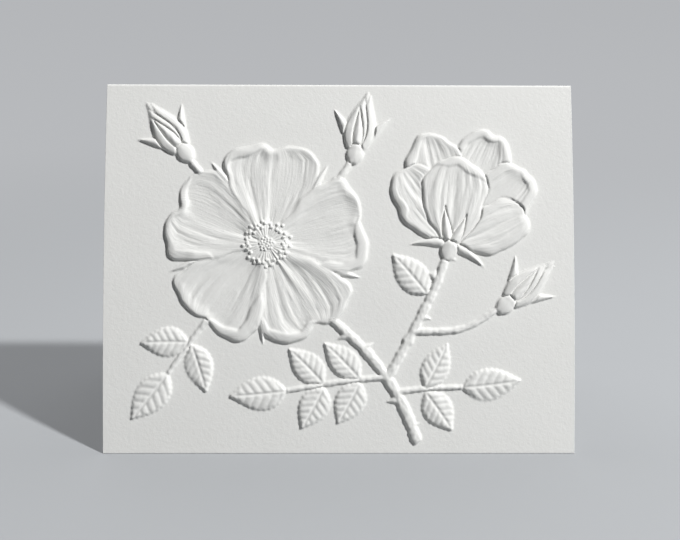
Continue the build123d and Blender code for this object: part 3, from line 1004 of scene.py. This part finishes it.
out_of_bow = turned((0.0, -1.0, 0.0), bow_angle)
outward = turned((0.0, -1.0, 0.0), angle)
onward = turned((0.0, 0.0, 1.0), angle)
along_bow = n.vector("ADD", n.inputs["Bow centre"], n.vector("SCALE", out_of_bow, n.inputs["Bow radius"]))
from_bow = n.vector("SUBTRACT", outward, out_of_bow)
round_fold = n.vector("SCALE", from_bow, n.inputs["Fold radius"])
down_the_back = n.vector("SCALE", onward, on_back)
above = n.vector("ADD", n.vector("SCALE", outward, place["Z"]), n.joined(place["X"]))
total = n.vector("ADD", n.vector("ADD", along_bow, round_fold), n.vector("ADD", down_the_back, above))
folded = n.result("GeometryNodeSetPosition", [n.inputs["Geometry"], None, total])
real = n.result("GeometryNodeRealizeInstances", [folded])
dressed = n.result("GeometryNodeSetMaterial", [real, None, n.inputs["Paper"]])
is_cut = n.result("GeometryNodeInputNamedAttribute", ["cut_edge"], data_type="BOOLEAN")
trimmed = n.result("GeometryNodeSetMaterial", [dressed, is_cut, n.inputs["Cut edge"]])
n.feed(n.output["Geometry"], trimmed)
print("folding tree:", len(folding.nodes), "nodes")

# %% [markdown]
# ## Cotton paper
# Cotton paper dries on a felt, which leaves a soft tooth, and its fibres mat into faint clouds.
# Where the die has pressed it, the tooth is flatter and the paper a little smoother. Both finishes
# below use the tooth, so it is a node group that puts out a height and a tone.

# %% The tooth of the paper as a node group
tooth_inputs = {"Vector": "Vector", "Grain per metre": "Float", "Fibre share": "Float"}
tooth = tree_of("felt_tooth", "ShaderNodeTree", tooth_inputs, {"Height": "Float", "Tone": "Float"})
n = Nodes(tooth)
place, grain = n.inputs["Vector"], n.inputs["Grain per metre"]
felt = n.noise(place, grain, 2.0, 0.55, 0.4)
pits = n.noise(place, n.times(grain, 2.6), 2.0, 0.5, 0.2)
fibre = n.noise(place, n.times(grain, 7.0), 3.0, 0.6, 1.5)
clouds = n.noise(place, n.times(grain, 0.09), 3.0, 0.6, 0.3)
height = n.plus(felt, n.times(pits, 0.45))
height = n.plus(height, n.times(fibre, n.inputs["Fibre share"]))
n.feed(n.output["Height"], height)
n.feed(n.output["Tone"], n.plus(n.times(clouds, 0.7), n.times(fibre, 0.3)))
print("tooth group:", len(tooth.nodes), "nodes")

# %% [markdown]
# ## Two finishes
# The face and the cut edge share the tooth. The face adds fine streaks that follow the pressed
# forms, each form's own directions being kept as an attribute. The edge is rougher, because a
# blade leaves torn fibres.

# %% The paper's face and its cut edge
def paper_material(name, dark, light, roughness, depth, fibre_share, streaks=0.0):
    """Cotton paper between two close tones, with a tooth of the given depth in metres."""
    material = bpy.data.materials.new(name)
    material.use_nodes = True
    material.node_tree.nodes.clear()
    n = Nodes(material.node_tree, group=False)
    place = n.node("ShaderNodeTexCoord").outputs["Object"]
    felt = n.node("ShaderNodeGroup", [place, 900.0, fibre_share], node_tree=tooth).outputs
    tone = n.result("ShaderNodeMix", [felt["Tone"], (*dark, 1), (*light, 1)], data_type="RGBA")
    pressed = n.node("ShaderNodeAttribute", attribute_name="pressed").outputs["Fac"]
    height = n.times(felt["Height"], n.minus(1.0, n.times(pressed, 0.5)))
    if streaks:
        grain = n.node("ShaderNodeAttribute", attribute_name="grain").outputs["Vector"]
        streak = n.noise(n.vector("MULTIPLY", grain, (1900.0, 190.0, 0.0)), 1.0, 2.0, 0.6, 0.3)
        off_root = n.mapped(n.parts(grain)["Y"], 0.0, 0.004)
        height = n.plus(height, n.times(n.times(streak, off_root), streaks))
    rough = n.mapped(felt["Height"], 0.4, 1.2, roughness - 0.06, roughness + 0.06)
    shader = n.result("ShaderNodeBsdfPrincipled", {
        "Base Color": tone,
        "Roughness": n.minus(rough, n.times(pressed, 0.10)),
        "Normal": n.result("ShaderNodeBump", {"Distance": depth, "Height": height}),
        "Specular IOR Level": 0.32,
        "Sheen Weight": 0.06,
        "Sheen Roughness": 0.5,
    })
    n.node("ShaderNodeOutputMaterial", [shader])
    return material


face_tones = (0.80, 0.80, 0.775), (0.86, 0.86, 0.84)
edge_tones = (0.82, 0.82, 0.79), (0.88, 0.88, 0.86)
face_paper = paper_material("cotton_paper_face", *face_tones, 0.78, 0.00006, 0.12, streaks=1.7)
edge_paper = paper_material("cotton_paper_cut_edge", *edge_tones, 0.9, 0.0001, 0.6)
print("finishes:", face_paper.name, edge_paper.name)

# %% [markdown]
# ## From modifiers to one plain mesh
# The modifiers run once, and the result is kept as a plain mesh. It then stands for the CAD solid
# and rides with the card's only body.

# %% Fold the sheet and put it in the frame
fold_values = {
    "Bow radius": bow_radius * MM,
    "Foot angle": foot_angle,
    "Bow centre": (0.0, float(bow_centre[0]) * MM, float(bow_centre[1]) * MM),
    "Front run": front_run * MM,
    "Fold radius": fold_radius * MM,
    "Fold angle": fold_angle,
    "Paper": face_paper,
    "Cut edge": edge_paper,
}
run_modifier(sheet, folding, fold_values)
depsgraph = bpy.context.evaluated_depsgraph_get()
folded_sheet = sheet.evaluated_get(depsgraph)
ready = bpy.data.meshes.new_from_object(folded_sheet, preserve_all_data_layers=True, depsgraph=depsgraph)
sheet.modifiers.clear()
sheet.data = ready
ready.name = "embossed_sheet"
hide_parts("folded_card")
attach(sheet, "root")
ready.calc_loop_triangles()
print("materials:", [material.name for material in ready.materials], "triangles:", len(ready.loop_triangles))

# %% [markdown]
# ## Studio
# The card stands on a plain pale floor. One small lamp shines across it from the right and above,
# as a window would. Slanting light is what makes blind embossing readable: light from the front
# would hide it. The surround is almost dark in front, to keep the shadows, and brighter behind the
# card, where it lights the plain back panel and never reaches the embossed face. The camera sees
# the surround as pale. The floor's paint fades with distance into a glow of that same tone, which
# only the camera sees, so floor and surround meet without a line.

# %% Floor, lamp and surround
pale = (0.46, 0.47, 0.487, 1)
floor_mesh = bpy.data.meshes.new("floor")
floor_mesh.from_pydata([(-30, -30, 0), (30, -30, 0), (30, 30, 0), (-30, 30, 0)], [], [(0, 1, 2, 3)])
floor = placed("floor", floor_mesh)
floor_paint = bpy.data.materials.new("pale_floor")
floor_paint.use_nodes = True
floor_mesh.materials.append(floor_paint)
n = Nodes(floor_paint.node_tree, group=False)


def seen_directly(n):
    """1 for rays that show a surface to the camera, also by way of gloss or glass."""
    path = n.node("ShaderNodeLightPath").outputs
    through = n.math("MAXIMUM", path["Is Glossy Ray"], path["Is Transmission Ray"])
    return n.math("MAXIMUM", path["Is Camera Ray"], through)


from_card = n.vector("LENGTH", n.node("ShaderNodeTexCoord").outputs["Object"])
far = n.mapped(from_card, 0.1, 0.55, interpolation_type="SMOOTHSTEP")
near_paint, far_paint = (0.30, 0.31, 0.32, 1), (0.03, 0.031, 0.032, 1)
glow = n.mapped(far, 0.0, 1.0, 0.28, 0.98)
n.fill(floor_paint.node_tree.nodes["Principled BSDF"], {
    "Base Color": n.result("ShaderNodeMix", [far, near_paint, far_paint], data_type="RGBA"),
    "Roughness": 0.9,
    "Specular IOR Level": 0.0,
    "Emission Color": pale,
    "Emission Strength": n.times(seen_directly(n), glow),
})

card_middle = np.array([0.0, -0.02, 0.052])
up_panel = np.array([0.0, math.sin(lean), math.cos(lean)])
off_panel = np.array([0.0, -math.cos(lean), math.sin(lean)])
toward_key = np.array([0.66, 0.0, 0.0]) + 0.60 * up_panel + 0.58 * off_panel
key_place = mathutils.Vector(card_middle + 2.0 * toward_key / np.linalg.norm(toward_key))
light = bpy.data.lights.new("slanting_key", "AREA")
light.size = 0.12
light.energy = 52.9
key = placed("slanting_key", light)
key.location = key_place
key.rotation_euler = (mathutils.Vector(card_middle) - key_place).to_track_quat("-Z", "Y").to_euler()

world = bpy.data.worlds.new("surround")
bpy.context.scene.world = world
world.use_nodes = True
world.node_tree.nodes.clear()
n = Nodes(world.node_tree, group=False)
direction = n.node("ShaderNodeTexCoord").outputs["Generated"]
behind = n.vector("DOT_PRODUCT", direction, (0.0, math.cos(lean), -math.sin(lean)))
fill = n.result("ShaderNodeBackground", [(0.97, 0.98, 1.0, 1), n.mapped(behind, 0.0, 0.25, 0.025, 1.25)])
seen = n.result("ShaderNodeBackground", [pale, 1.0])
n.node("ShaderNodeOutputWorld", [n.result("ShaderNodeMixShader", [seen_directly(n), fill, seen])])
print("key lamp at", [round(v, 3) for v in key.location])

# %% [markdown]
# ## Camera
# The camera was worked out from the four corners of the front panel and its bowed left edge: 50 mm
# on a 36 mm wide frame, about 30 cm away, looking down by the panel's own lean, so that the panel
# is seen nearly square on.

# %% Camera
azimuth, elevation, roll = math.radians(-0.533), math.radians(17.505), math.radians(0.242)
distance = 0.30349
target = mathutils.Vector((0.000389, 0.0, 0.045136))
backward = mathutils.Vector((
    math.sin(azimuth) * math.cos(elevation), -math.cos(azimuth) * math.cos(elevation), math.sin(elevation)
))
lens = bpy.data.cameras.new("camera")
lens.sensor_fit = "HORIZONTAL"
lens.sensor_width = 36.0
lens.lens = 945.0 / 680.0 * lens.sensor_width
lens.clip_start = 0.01
camera = placed("camera", lens)
right = backward.cross(mathutils.Vector((0, 0, 1))).normalized() * -1
upward = backward.cross(right)
c, s = math.cos(roll), math.sin(roll)
right, upward = right * c + upward * s, upward * c - right * s
camera.matrix_world = mathutils.Matrix((right, upward, backward)).transposed().to_4x4()
camera.location = target + backward * distance
bpy.context.scene.camera = camera
bpy.context.scene.view_settings.view_transform = "Standard"
print("camera at", [round(v, 4) for v in camera.location])
